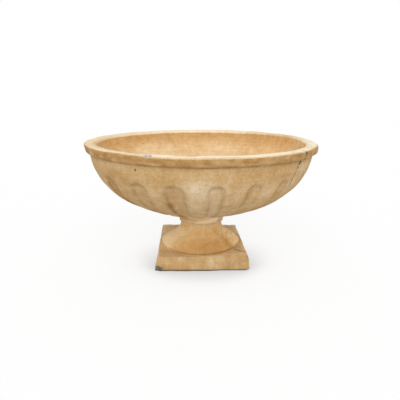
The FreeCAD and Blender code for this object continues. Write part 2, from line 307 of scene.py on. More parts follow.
# Dirt and painted shade where the mask says, broken up by mottling.
def makeGrimeAndShade():
    tree, given, put = newGroup("grimeAndShadeFilm", "Vector Color Mask Grime", "Color")
    breaks = between(tree, noiseAt(tree, given["Vector"], 120, 3, 0.6), 0.3, 0.7, 0.65, 1.15)
    share = maths(tree, "MULTIPLY", given["Mask"], breaks)
    feed(tree, put["Color"], mixed(tree, share, given["Color"], given["Grime"]))
    return tree


# Broken stone: the grey body of the casting with lighter aggregate in it.
def makeCore():
    tree, given, put = newGroup("brokenCore", "Vector Color Mask Core Aggregate", "Color")
    stones = addNode(tree, "TexVoronoi", Vector=given["Vector"], Scale=260.0).outputs["Color"]
    grey = addNode(tree, "SeparateColor", Color=stones).outputs[0]
    core = mixed(tree, between(tree, grey, 0.45, 0.85), given["Core"], given["Aggregate"])
    feed(tree, put["Color"], mixed(tree, given["Mask"], given["Color"], core))
    return tree


# Sandy face: fine grain, soft lumps and a few pinholes left by air in the mould.
def makeSand():
    tree, given, put = newGroup("sandFace", "Vector Pinholes", "Height Holes Rough")
    vector = given["Vector"]
    cells = addNode(tree, "TexVoronoi", Vector=vector, Scale=62.0)
    chance = addNode(tree, "SeparateColor", Color=cells.outputs["Color"]).outputs[0]
    size = between(tree, chance, 0.86, 1.0, 0.0, 0.17)
    holes = between(tree, maths(tree, "SUBTRACT", size, cells.outputs["Distance"]), 0.0, 0.035)
    holes = maths(tree, "MULTIPLY", holes, given["Pinholes"])
    grain = noiseAt(tree, vector, 700, 2, 0.6)
    lumps = noiseAt(tree, vector, 130, 4, 0.6)
    height = maths(tree, "ADD", maths(tree, "MULTIPLY", grain, 0.35), lumps)
    feed(tree, put["Height"], maths(tree, "SUBTRACT", height, maths(tree, "MULTIPLY", holes, 1.2)))
    feed(tree, put["Holes"], holes)
    feed(tree, put["Rough"], between(tree, lumps, 0.3, 0.7, 0.78, 0.95))
    return tree


washGroup, grimeAndShadeGroup, coreGroup, sandGroup = makeWash(), makeGrimeAndShade(), makeCore(), makeSand()
warmTint = (1.14, 1.02, 0.84, 1)  # multiplies the colour of stone where the warm mask says


def newMaterial(name):
    material = bpy.data.materials.new(name)
    material.use_nodes = True
    tree = material.node_tree
    shader = next(n for n in tree.nodes if n.type == "BSDF_PRINCIPLED")
    vector = addNode(tree, "TexCoord").outputs["Object"]
    return material, tree, shader, vector


def dress(tree, shader, colour, rough, height, strength, distance):  # a shader's colour, roughness and bumps
    bump = addNode(tree, "Bump", Strength=strength, Distance=distance, Height=height)
    for name, socket in (("Base Color", colour), ("Roughness", rough), ("Normal", bump.outputs[0])):
        tree.links.new(socket, shader.inputs[name])


def maskOf(tree, name):
    return addNode(tree, "Attribute", attribute_name=name).outputs["Fac"]


def castStone(name, look, spots=()):
    material, tree, shader, vector = newMaterial(name)
    tint = {key: paint(*value) for key, value in look.items() if isinstance(value, tuple)}
    sand = placeGroup(tree, sandGroup, Vector=vector, Pinholes=look["pinholes"])
    wash = placeGroup(tree, washGroup, Vector=vector, Wash=maskOf(tree, "wash"), Unevenness=look["unevenness"],
                      Bare=tint["bare"], Pale=tint["pale"], Ochre=tint["ochre"], Umber=tint["umber"])
    core = placeGroup(tree, coreGroup, Vector=vector, Color=wash["Color"], Mask=maskOf(tree, "core"),
                      Core=tint["core"], Aggregate=tint["aggregate"])
    # the grime mask, which also carries painted shade, and the pinholes, darkened as painted shade in them
    dirt = maths(tree, "MAXIMUM", maskOf(tree, "grime"), maths(tree, "MULTIPLY", sand["Holes"], 0.8))
    film = placeGroup(tree, grimeAndShadeGroup, Vector=vector, Color=core["Color"], Mask=dirt, Grime=tint["grime"])
    deep = maskOf(tree, "deep")
    # painted shade: each spot is dark inside its radius, standing in for the shade in a small hole
    for x, y, z, size in spots:  # dark inside the radius round each place
        place = (x * 0.001, y * 0.001, z * 0.001)
        away = addNode(tree, "VectorMath", (0, vector), (1, place), operation="DISTANCE").outputs["Value"]
        spot = between(tree, away, size * 0.001, size * 0.0004, 0.0, 0.85)
        deep = maths(tree, "MAXIMUM", deep, spot)
    colour = mixed(tree, maskOf(tree, "warm"), film["Color"], warmTint, "MULTIPLY")
    colour = mixed(tree, deep, colour, tint["deep"])
    dress(tree, shader, colour, sand["Rough"], sand["Height"], look["grain"], 0.0012)
    shader.inputs["Specular IOR Level"].default_value = 0.2
    return material


# Bowl

# the runs of its profile, in order up to the recess in its floor
(baseRing, flareFace, lowBelly, highBelly, underBand, bandFoot, bandFace, bandBrow, rimTop, rimLip, hollowFace,
 recessWall) = range(12)

bowl = {
    "neckRadius": 70.2, "stubHeight": 22.5, "flareWidth": 33, "flareHeight": 35, "flareRound": 120,
    "rimWidth": 36, "rimOverhang": 15.5, "bandHeight": 24.5, "rimLean": 3, "topRound": 2.4, "underRound": 9,
    "innerRound": 9, "bellyDrop": 21, "floorThickness": 34, "recessRadius": 40, "recessDepth": 22,
    "boreRadius": 15, "arrisWear": 0.9, "columns": 720,
    # faults: lean in degrees, fuller belly, tuck beside the neck, the rim's wander, sag and hang on the right,
    # its right end rubbed out and in, lift of its inner edge, fall of its rubbed brow
    "leanRight": 0.18, "leanForward": 0.28, "fullness": 3.0, "tuck": 3.6, "rimWander": 0.3, "rimSag": 2,
    "bandHang": 1.6, "endOut": 2.8, "endIn": 6.4, "lipLift": 4.2, "browFall": 0.2,
    # flutes: how many, the first one's angle, width and depth at the head, head below the rim, soft edges, and
    # the radii between which they start
    "flutes": 20, "fluteTurn": 4.5, "fluteWidth": 44, "fluteDepth": 7.4, "fluteHeadDrop": 92, "fluteSoft": 0.38,
    "fluteFade": (92, 118),
    # single flutes at the front, by number from the first: extra turn, width over the usual one, lower head,
    # painted shade with some dirt on the left and right flank, extra wash in the hollow (painted shade where
    # positive, painted light where negative)
    "fluteNudges": {-3: -1.3, -2: 0.1, -1: -0.2, 0: 0.6, 1: 0.3, 2: -0.5},
    "fluteSpans": {-2: 1.08, -1: 1.3, 2: 0.88},
    "fluteDrops": {-2: 3, -1: 9},
    "fluteFlanks": {-3: (0.7, 0.1), -2: (0.46, 0.26), -1: (0.62, 0.3), 0: (0.34, 0.36), 1: (0.42, 0.24),
                    2: (0.3, 0.2)},
    "fluteTones": {-3: 0.38, -2: 0.2, -1: 0.2, 0: -0.22, 1: 0.08, 2: 0.2},
    "chipAngle": -22.3, "chipRadii": (15.5, 35, 9), "chipOut": 7.2,
    # air holes: angle, level, radius, darkness
    "airHoles": [(-30.2, 337.4, 3.7, 1.0), (-33.2, 331, 1.6, 0.3), (-32.6, 325, 1.6, 0.3)], "holeDepth": 3.5,
    "holeChart": 333, "crackChart": 335,  # radii at which the angles of holes and crack are laid out flat
    # the crack from the rim down the belly: angle, and way along the face from the corner under the rim
    "crack": [(47.9, 96), (48.5, 70), (48.1, 58), (48.6, 45), (48.2, 36), (48.3, 29), (49.7, 24), (49.8, 20),
              (49.4, 15), (48.9, 9), (49.1, 3), (49.4, -3), (48.4, -8), (47.5, -14), (47.3, -21), (46.7, -35),
              (45.7, -48.5), (46.05, -65), (46.2, -75), (45.9, -88)],
    "crackWidth": 1.7, "crackDepth": 3.2,
    # pits broken out along the crack: angle, way along the face, radius
    "crackPits": [(49.6, 25, 5.5), (49.0, 12, 5), (49.5, 18, 4), (48.9, 8, 5), (49.2, -3, 6), (48.4, -8, 6),
                  (47.6, -13, 5.5), (47.4, -20, 4.5)],
    # the small holes in the hollow are painted dark, as the shade in them
    "innerSpots": [(-206.4, 228.5, 339, 2.4)],  # small holes in the hollow: place and radius
    # the neck's wash is kept paler, partly as painted light where the bowl shades the neck
    "washes": {"neck": 0.1, "belly": 0.5, "band": 0.96, "brow": 0.9, "rim": -0.16, "inside": 0.5},
    # deeper (+) or paler (-) wash outside and inside: angle, level, spread in degrees and mm, amount
    # outside, the paler stain at 46 degrees on the belly's right is painted light
    "stains": [(-41, 312, 10, 20, 0.24), (-3, 300, 7, 26, -0.42), (-4, 256, 6, 26, -0.15), (24, 285, 6, 24, -0.06),
               (46, 285, 8, 24, -0.14), (-17.9, 243, 2.4, 11, 0.42), (-19, 322, 8, 18, 0.14),
               (-43, 267, 8, 18, 0.16), (32, 280, 6, 18, -0.2), (24, 333, 11, 13, 0.18), (6, 331, 7, 13, -0.06),
               (13, 292, 5, 16, -0.14), (-28, 307, 6, 14, -0.1), (57, 330, 7, 34, -0.22), (38, 318, 8, 16, 0.12),
               (20.5, 268, 2.5, 24, 0.2), (-60, 140, 45, 12, 0.4), (-37, 144, 9, 7, 0.35),
               (-22.6, 278, 3, 11, -0.22), (15.2, 276, 3.6, 12, -0.15), (18, 226, 6, 13, -0.12)],
    # inside, the paler stain at 90 degrees is painted light, and the deeper one at 178 degrees is painted shade
    # under the rim
    "insideStains": [(-140, 318, 15, 20, -0.22), (-152, 318, 8, 14, -0.1), (150, 322, 10, 16, -0.08),
                     (178, 365, 50, 12, 0.22), (158, 302, 14, 18, -0.12), (-100, 360, 24, 18, -0.05),
                     (90, 335, 20, 36, -0.45), (-88, 320, 20, 40, -0.25)],
    # the same round the rim: first and last run, angle, spread, amount
    "rimStains": [(rimTop, rimLip, -90, 35, 0.2), (rimTop, rimLip, 78, 20, -0.25), (rimTop, rimLip, 122, 28, 0.35),
                  (rimLip, rimLip, -70, 26, 0.3), (bandFoot, bandFace, -4, 22, 0.1),
                  (bandFoot, bandFace, -80, 14, 0.5)],
    # how strongly each mask darkens: arch, flute, under and hidden are painted shade, flank is painted shade with
    # some dirt, drip is a real stain
    "dirt": {"arch": 0.33, "flank": 0.85, "flute": 0.06, "under": 0.16, "drip": 0.35, "hidden": 0.5},
    "look": {"bare": (250, 235, 208), "pale": (232, 210, 174), "ochre": (208, 171, 119), "umber": (174, 130, 76),
             "core": (176, 170, 158), "aggregate": (224, 216, 202), "grime": (118, 88, 52), "deep": (78, 60, 38),
             "unevenness": 1.0, "pinholes": 0.2, "grain": 0.5},
}


def bowlRuns(b, low, high):
    base, top, rim = low[2], high[2], high[0]
    neck, bore, recess = b.neckRadius, b.boreRadius, b.recessRadius
    inner, footRound, topRound = b.innerRound, b.underRound, b.topRound
    stubTop, middle = base + b.stubHeight, top - b.bellyDrop
    belly = (rim - b.rimOverhang, middle - stubTop)
    flare = hollowRun((neck, base), (neck + b.flareWidth, base + b.flareHeight), b.flareRound)
    flare = flare[np.hypot(flare[:, 0] / belly[0], (flare[:, 1] - middle) / belly[1]) > 1]
    start = degrees(atan2((flare[-1, 1] - middle) / belly[1], flare[-1, 0] / belly[0]))
    under, foot = top - b.bandHeight, rim - b.rimLean
    split = degrees(asin((top - b.fluteHeadDrop - middle) / belly[1])) - 2
    corner = degrees(asin((under - middle) / belly[1]))
    hollow = (rim - b.rimWidth, top - stubTop - b.floorThickness)
    lip = -degrees(asin(inner / hollow[1]))
    drop = -degrees(acos(recess / hollow[0]))
    floor = stubTop + b.floorThickness - b.recessDepth
    edge = belly[0] * cos(radians(corner))
    mouth, brink = hollow[0] + inner, top + hollow[1] * sin(radians(drop))
    return [
        (straightRun((bore, base), (neck, base)), 4),
        (flare, 10),
        (curveRun((0, middle), belly, start, split), 30),
        (curveRun((0, middle), belly, split, corner), 29),
        (straightRun((edge, under), (foot - footRound, under)), 3),
        (curveRun((foot - footRound, under + footRound), footRound, -90, 0), 6),
        (straightRun((foot, under + footRound), (rim, top - topRound)), 7),
        (curveRun((rim - topRound, top - topRound), topRound, 0, 90), 6),
        (straightRun((rim - topRound, top), (mouth, top)), 9),
        (curveRun((mouth, top - inner), inner, 90, 180), 5),
        (curveRun((0, top), hollow, lip, drop), 18),
        (straightRun((recess, brink), (recess, floor)), 4),
        (straightRun((recess, floor), (bore, floor)), 3),
        (straightRun((bore, floor), (bore, base)), 3),
    ]


def perFlute(values, table):  # one value for each flute, those in the table replaced
    for index, value in table.items():
        values[index] = value
    return values


# Flute depth at a point: at the head 1 - q^2 of its full depth, q the distance from the head's centre
# over half the width; below it q is taken across the flute only. Depth and width shrink with the radius.
def fluteCut(b, angles, radius, belowHead, headRadius):
    count, pitch = b.flutes, 360 / b.flutes
    number = np.round(turnFrom(angles, b.fluteTurn) / pitch).astype(int)
    draw = np.random.default_rng(11)
    nudge = perFlute(draw.normal(0, 0.35, count), b.fluteNudges)
    swell = perFlute(draw.normal(1, 0.05, count), b.fluteSpans)
    sink = draw.normal(1, 0.12, count)
    drops = perFlute(np.zeros(count), b.fluteDrops)
    flanks = perFlute(np.full((count, 2), 0.2), b.fluteFlanks)
    tones = perFlute(np.zeros(count), b.fluteTones)
    away = turnFrom(angles, b.fluteTurn + number * pitch + nudge[number])
    half = b.fluteWidth / 2 * swell[number]
    across = np.radians(away) * radius
    taper = radius / headRadius
    belowHead = belowHead - drops[number]
    q = np.where(belowHead > 0, np.abs(across) / (half * taper), np.hypot(across, belowHead) / half)
    hollow = 1 - q * q
    soft = b.fluteSoft
    share = (hollow + np.sqrt(hollow * hollow + soft * soft)) / 2 - soft * soft / 4 / np.maximum(q * q, 0.4)
    share = np.maximum(share, 0) * ease(q, 3.0, 1.6)
    depth = b.fluteDepth * sink[number] * taper * share * ease(radius, *b.fluteFade)
    flank = np.where(away < 0, flanks[number, 0], flanks[number, 1])
    return depth, q, flank, tones[number]


def buildBowl(b):
    low, high = boxOf("bowl")
    rim, top = high[0], high[2]
    focus = [(47.8, 2.6, 7), (b.chipAngle, 3.2, 4), (b.airHoles[0][0], 1.2, 5)]  # crack, chip, air hole
    points, radius, level, part, angles = turnedGrid(bowlRuns(b, low, high), b.arrisWear, b.columns, focus)

    def at(centre, width):
        return near(angles, centre, width)

    sunk, inwards = top - level, rim - radius
    steps = np.hypot(np.diff(radius, axis=0), np.diff(level, axis=0))
    way = np.concatenate([[[0]], np.cumsum(steps, axis=0)])
    belly = among(part, flareFace, highBelly)
    rimRows = among(part, underBand, rimLip)
    head = np.argmin(np.abs(b.fluteHeadDrop - sunk[:, 0]) + 1e6 * ~belly[:, 0])
    fromCorner = way - way[np.argmax(part[:, 0] == underBand)]
    cut, q, flank, tone = fluteCut(b, angles, radius, way[head] - way, radius[head, 0])
    cut = cut * belly
    normals = gridNormals(points)
    uneven = 0.7 * waveNoise(points, 90, 3) + 0.28 * waveNoise(points, 26, 4)
    calm = 1 - 0.8 * rimRows * at(-75, 45)  # the rim is smoother on the left
    tuck = b.tuck * bell(radius, 118, 42) * (part == lowBelly) * (0.3 - 0.7 * np.sin(np.radians(angles)))
    full = b.fullness * bell(level, 238, 40) * (1 - 0.35 * at(90, 50))
    full = full * among(part, lowBelly, highBelly) - tuck
    points += normals * (0.6 * uneven * calm + full - cut)[..., None]

    # rim: its edges wander, the lower one hangs deeper on the right, the right end sags and is rubbed round,
    # the inner edge rises behind it, and nicks are out of all edges
    points[..., 2] += rimRows * b.rimWander * waveNoise(points * [1, 1, 0], 120, 5)
    points[..., 2] -= rimRows * b.rimSag * at(90, 20)
    points[..., 2] -= among(part, underBand, bandFoot) * b.bandHang * at(60, 45)
    rightEnd = b.endOut * ease(sunk, 5, 14) - b.endIn * ease(sunk, 9, 0)
    rightEnd = rightEnd * at(86, 19) * ease(inwards, 20, 3)
    points[..., 0] += among(part, bandFoot, rimTop) * rightEnd
    lift = at(106, 34) * ease(inwards, 12, 32) * ease(sunk, 70, 8)
    points[..., 2] += b.lipLift * lift * among(part, rimTop, hollowFace)
    rubbed = ease(angles, -30, -16) * ease(angles, 62, 46)
    fall = b.browFall * rubbed * ease(inwards, 18, 3) * ease(sunk, 16, 2)
    points[..., 2] -= fall * among(part, bandFace, rimTop)
    nicks = np.clip(waveNoise(points, 9, 6) - 1.5, 0, 1.2) * np.isin(part, (bandFoot, bandBrow, rimLip))
    points -= normals * (nicks * calm)[..., None]

    # crack: a groove exp(-(d / width)^2) deep along its line, d measured on the face, widest under the rim
    chart = np.radians(angles) * b.crackChart + 0 * way
    along = fromCorner + 0 * angles
    path = [(radians(angle) * b.crackChart, place) for angle, place in b.crack]
    fromCrack = lineDistance(chart + 0.5 * waveNoise(points, 7, 8), along, path)
    fromCrack = fromCrack / (1 + 1.1 * bell(fromCorner, -3, 14))
    ragged, pits = 1.2 * waveNoise(points, 8, 9), 0 * chart
    for angle, place, size in b.crackPits:
        gone = np.hypot(chart - radians(angle) * b.crackChart, along - place) + ragged
        pits = np.maximum(pits, ease(gone, size, size * 0.4))
    groove = np.maximum(bell(fromCrack, 0, b.crackWidth), 0.6 * pits)
    points -= normals * (groove * b.crackDepth)[..., None]
    # painted highlight: a paler strip a little right of the crack, near the rim, where its edge catches light
    besideCrack = bell(lineDistance(chart - 7, along, path), 0, 3.5) * ease(fromCorner, 12, 0)

    # chip out of the rim's outer edge, and air holes in the belly
    turn, beyond = radians(b.chipAngle), b.chipOut * 0.7
    out = rim - b.topRound / 2 + beyond
    centre = (out * sin(turn), -out * cos(turn), top + beyond)
    points, chipped = scoop(points, centre, b.chipRadii, 12)
    holes = 0 * angles * level
    for angle, height, size, dark in b.airHoles:
        gone = np.hypot(np.radians(turnFrom(angles, angle)) * b.holeChart, level - height)
        holes = np.maximum(holes, dark * ease(gone, size, size * 0.35) * (part == highBelly))
    points -= normals * (b.holeDepth * holes)[..., None]

    # settled a little to the right and forward on its neck
    points[..., 2] -= points[..., 0] * tan(radians(b.leanRight))
    points[..., 2] += points[..., 1] * tan(radians(b.leanForward))

    # wash: each face's own depth, worn edges, the stains, painted shade deeper under the belly's sides, and
    # painted light beside the crack and on the band past it
    inside, below = part == hollowFace, part <= highBelly
    band, rimFace = among(part, bandFoot, bandFace), among(part, rimTop, rimLip)
    faces = [part <= flareFace, below, part <= bandFace, part == bandBrow, part <= rimLip]
    depths = [b.washes[key] for key in ("neck", "belly", "band", "brow", "rim")]
    wash = np.select(faces, depths, b.washes["inside"]) + 0 * angles
    wash += (part == rimTop) * (0.12 - 0.08 * rubbed) * ease(inwards, 7, 3)
    wash += (part == rimTop) * 0.16 * at(-70, 26) * ease(inwards, 14, 24)
    wash -= rubbed * (0.6 * (part == bandBrow) + 0.2 * rimFace)
    # painted shade: the hollow's wash is deeper near the rim, where the rim shades it, and paler further down
    wash += 0.1 * (part == highBelly) * ease(level, 285, 320) + inside * (0.15 - 0.3 * ease(sunk, 15, 80))
    wash += 0.12 * band * waveNoise(points * [1, 1, 2.5], 34, 18)
    for first, last, angle, wide, amount in b.rimStains:
        wash += among(part, first, last) * amount * at(angle, wide)
    for where, stains in ((belly, b.stains), (inside, b.insideStains)):
        for angle, height, wide, tall, amount in stains:
            wash += where * amount * at(angle, wide) * bell(level, height, tall)
    # painted shade: deeper wash and grime low on the belly's left and right, where its underside gets less light
    under = ease(level, 285, 215) * ease(radius, 120, 170) * (at(-82, 42) + at(82, 42))
    # painted light: the band is paler right of the crack, and the belly paler close beside it
    pastCrack = among(part, bandFoot, bandBrow) * ease(angles, 50, 62) * ease(angles, 120, 90)
    wash += 0.22 * under * below - 0.25 * besideCrack - 0.28 * pastCrack
    # painted shade in the flutes' hollows where their tone is positive, painted light where it is negative
    flute = cut / b.fluteDepth
    wash += (tone - 0.05) * flute

    # neck: a pale patch that rises to the right, partly a smear of mortar and partly painted light on the lit part
    # of the flare, and a drip beside it
    aside = turnFrom(angles, 10)
    paleSmearAndLight = ease(128 + 21 * ease(aside, -48, 12) - level, 0, 3) * ease(aside, -40, -24)
    paleSmearAndLight = paleSmearAndLight * ease(aside, 40, 30) * (part == flareFace)
    drip = bell(turnFrom(angles, 43 + 1.5 * np.sin(level / 4)), 0, 3.5) * (part == flareFace)
    wash += 0.8 * drip - (0.45 + 0.7 * ease(aside, 0, 20)) * paleSmearAndLight

    # warmer stone on the hollow's sides, the rim's left, the neck and right of the middle
    warm = inside * ease(sunk, 200, 100) * (0.7 * at(104, 34) + 0.65 * at(-106, 32))
    warm += 0.22 * rimFace * at(-85, 30) + 0.5 * (part == flareFace)
    warm += 0.25 * belly * at(28, 14) * bell(level, 270, 40)

    # grime and painted shade: painted shade round the flutes' heads, in their hollows, in the corner under the
    # band, under the belly's sides and out of sight; painted shade with some dirt down the flanks; the drip's real
    # stain
    dirt, above = b.dirt, way - way[head]
    # painted shade: arcs round the flutes' heads, whose upper edges the light from above leaves in shade
    arch = strongest(bell(q, 0.9, 0.2) * (0.15 * ease(above, -110, -20) + 0.85 * ease(above, -30, 10)),
                     0.6 * bell(q, 0.72, 0.28) * ease(above, -10, 12)) * belly
    # painted shade with some dirt down the flutes' flanks
    side = bell(q, 0.82, 0.27) * belly * ease(above, 10, -6) * flank * ease(radius, 100, 140)
    # painted shade: a dark line in the corner under the band
    line = 0.3 + 0.16 * at(-52, 20) + 0.15 * ease(angles, -60, -5) * ease(angles, 90, 55)
    line = line * bell(fromCorner, 1, 2.6)
    grime = strongest(
        dirt["arch"] * arch * (1 + 0.15 * waveNoise(points, 30, 14)),
        dirt["flank"] * side * (1 + 0.25 * waveNoise(points, 36, 17)),
        dirt["flute"] * flute,
        dirt["under"] * under * below,
        line * (1 + 0.3 * waveNoise(points, 22, 15)),
        dirt["drip"] * drip,
        # painted shade on the faces hidden under the bowl and in its bore
        dirt["hidden"] * ((part >= recessWall) | (part == baseRing)))
    # painted shade: dark in the crack, its pits and the air holes
    cracked = bell(fromCrack, 0, 2.0) * np.clip(0.8 + 0.35 * waveNoise(points, 18, 16), 0.3, 1)
    deep = strongest(cracked, 0.9 * pits, holes)
    masks = {"wash": wash, "grime": np.clip(grime, 0, 1), "core": chipped, "deep": np.clip(deep, 0, 1),
             "warm": warm}
    stone = castStone("bowlStone", b.look, b.innerSpots)
    closedPiece("bowlCasting", points, masks, stone, "cast_stone", "bowl")


buildBowl(named(bowl))


# How far the worn top of the plinth, and what stands on it, falls at the front's middle, its change to the
# right, and the way from the axis over which it comes in
sag = {"middle": 4.6, "tilt": -3.2, "start": 0, "end": 135}


def frontSag(points):  # (middle + tilt * x / end) * ease(-y, start, end)
    fall = sag["middle"] + sag["tilt"] * np.clip(points[..., 0] / sag["end"], -1, 1)
    return fall * ease(-points[..., 1], sag["start"], sag["end"])


# Socle

socleLip, socleLipRound, socleNeck, socleTop = 1, 2, 5, 6  # runs of its profile

socle = {
    "boreRadius": 15, "footLip": 1, "footRound": 3, "skirtSlope": 30, "throatRound": 40, "waistRadius": 66.2,
    "waistHeight": 62.5, "neckRound": 12, "neckRadius": 70.2, "arrisWear": 1.2, "columns": 420,
    "footShift": -5, "lobe": 4, "ragged": 1.6,  # foot set forward, its lobe on the left, its torn right side
    # the run of rusty water down the right: angle against level
    "run": [(47, 54), (47.5, 60), (49, 72), (50.5, 80), (52, 87), (56, 96), (59, 110), (58, 124)],
    "look": {"bare": (255, 232, 192), "pale": (250, 222, 176), "ochre": (221, 180, 120), "umber": (184, 138, 79),
             "core": (150, 146, 138), "aggregate": (190, 186, 176), "grime": (92, 72, 46), "deep": (62, 52, 40),
             "unevenness": 0.9, "pinholes": 0.3, "grain": 0.5},
}


def buildSocle(s):
    low, high = boxOf("socle")
    base, top, foot = low[2], high[2], high[0]
    lip, waist = base + s.footLip, base + s.waistHeight
    slope, steep = radians(s.skirtSlope), 90 - s.skirtSlope
    footRound, throat = s.footRound, s.throatRound
    lean = 1 - sin(slope)
    skirtFoot = (foot - footRound * lean, lip + footRound * cos(slope))
    skirtTop = (s.waistRadius + throat * lean, waist - throat * cos(slope))
    runs = [
        (straightRun((s.boreRadius, base), (foot, base)), 6),
        (straightRun((foot, base), (foot, lip)), 3),
        (curveRun((foot - footRound, lip), footRound, 0, steep), 6),
        (straightRun(skirtFoot, skirtTop), 26),
        (curveRun((s.waistRadius + throat, waist), throat, 180 + steep, 180), 24),
        (hollowRun((s.waistRadius, waist), (s.neckRadius, top), s.neckRound), 10),
        (straightRun((s.neckRadius, top), (s.boreRadius, top)), 6),
        (straightRun((s.boreRadius, top), (s.boreRadius, base)), 4),
    ]
    points, _, level, part, angles = turnedGrid(runs, s.arrisWear, s.columns, [(50, 14, 1.5)])
    normals = gridNormals(points)
    face = among(part, socleLip, socleNeck)
    uneven = 0.8 * waveNoise(points, 70, 21) + 0.3 * waveNoise(points, 20, 22)
    nicks = 1.4 * np.clip(waveNoise(points, 12, 23) - 1.3, 0, 1.2) * among(part, socleLip, socleLipRound)
    points += normals * (face * 0.6 * uneven - nicks)[..., None]
    points[..., 2] -= frontSag(points) * ease(level, base + 46, base + 2)
    points[..., 1] += s.footShift * ease(level, top - 10, base + 10)
    ragged = near(angles, 80, 24) * ease(level, base + 30, base + 6) * waveNoise(points, 26, 26)
    lobe = near(angles, -92, 30) * ease(level, base + 34, base + 8)
    points[..., 0] += face * (s.ragged * ragged - s.lobe * lobe)

    # wash: paler flanks as painted light, deeper low at the front as painted shade under the bowl, deeper down the
    # run, mottled on the right
    flank = near(angles, -80, 32) + 0.9 * near(angles, 88, 30)
    wash = 0.56 - 0.72 * flank * ease(level, 114, 88) - 0.12 * ease(level, 96, 116)
    wash += 0.4 * ease(level, 84, 66) * near(angles, 4, 46) + 0.3 * (part <= socleLipRound) * (1 - flank)
    runAngle = np.interp(level, [z for angle, z in s.run], [angle for angle, z in s.run])
    run = bell(angles - runAngle, 0, 4.5 + 2 * ease(level, 90, 66)) * face * (0.1 + 0.9 * ease(level, 94, 78))
    mottle = near(angles, 80, 26) * ease(level, 100, 84) * waveNoise(points, 15, 25)
    wash += 0.2 * run + 0.18 * mottle
    # painted shade: a dark line round the foot, except on the lit left, and on the top and bore hidden under the
    # bowl; the run's grime is a real stain
    grime = strongest(0.3 * bell(level, base, 4) * (1 - 0.9 * near(angles, -85, 40)),
                      0.13 * run * (1 + 0.4 * waveNoise(points, 14, 24)), 0.5 * (part >= socleTop))
    masks = {"wash": wash, "grime": np.clip(grime, 0, 1), "core": 0.5 * ease(nicks, 0.5, 1.4),
             "warm": 0.08 + 0.4 * near(angles, 80, 36)}
    closedPiece("socleCasting", points, masks, castStone("socleStone", s.look), "cast_stone", "socle")


buildSocle(named(socle))


# Plinth

plinthSole, footArris, topArris, plinthTop = 2, 3, 5, 6  # runs of its profile

plinth = {
    "boreRadius": 15, "recessRadius": 40, "recessDepth": 24, "draft": 5, "topRound": 3.5, "baseRound": 2,
    "squareness": 130, "arrisWear": 1.4, "swell": 4, "hollowSides": 0.014, "columns": 760,
    "backSkew": (18, 4), "backLift": 2.5,  # how much further back and higher the back corners lie
    "corners": [(-2.5, 2), (2, 2), (-3, 0), (-3, 0)],  # shift of front left, front right, back left, back right
    # pieces broken off: centre from the plinth's middle, radii, and how much grey core they show
    "breaks": [((-160, -153, 8), (45, 34, 13.5), 1.0), ((158, -154, 69), (40, 40, 40), 0.1),
               ((153, -62, 65), (22, 66, 22), 0.1), ((148, -148, -4), (20, 24, 14), 0.2),
               ((40, 156, -10), (46, 24, 20), 0.4), ((156, 96, -8), (24, 30, 18), 0.5)],
    "crack": [(84, -90), (97, -83), (112, -95), (127, -107), (140, -112)], "crackWidth": 1.7, "crackDepth": 2.0,
    "look": {"bare": (255, 238, 208), "pale": (232, 207, 166), "ochre": (210, 172, 119), "umber": (176, 134, 82),
             "core": (124, 119, 108), "aggregate": (156, 150, 136), "grime": (96, 78, 54), "deep": (62, 52, 40),
             "unevenness": 0.95, "pinholes": 0.35, "grain": 0.55},
}


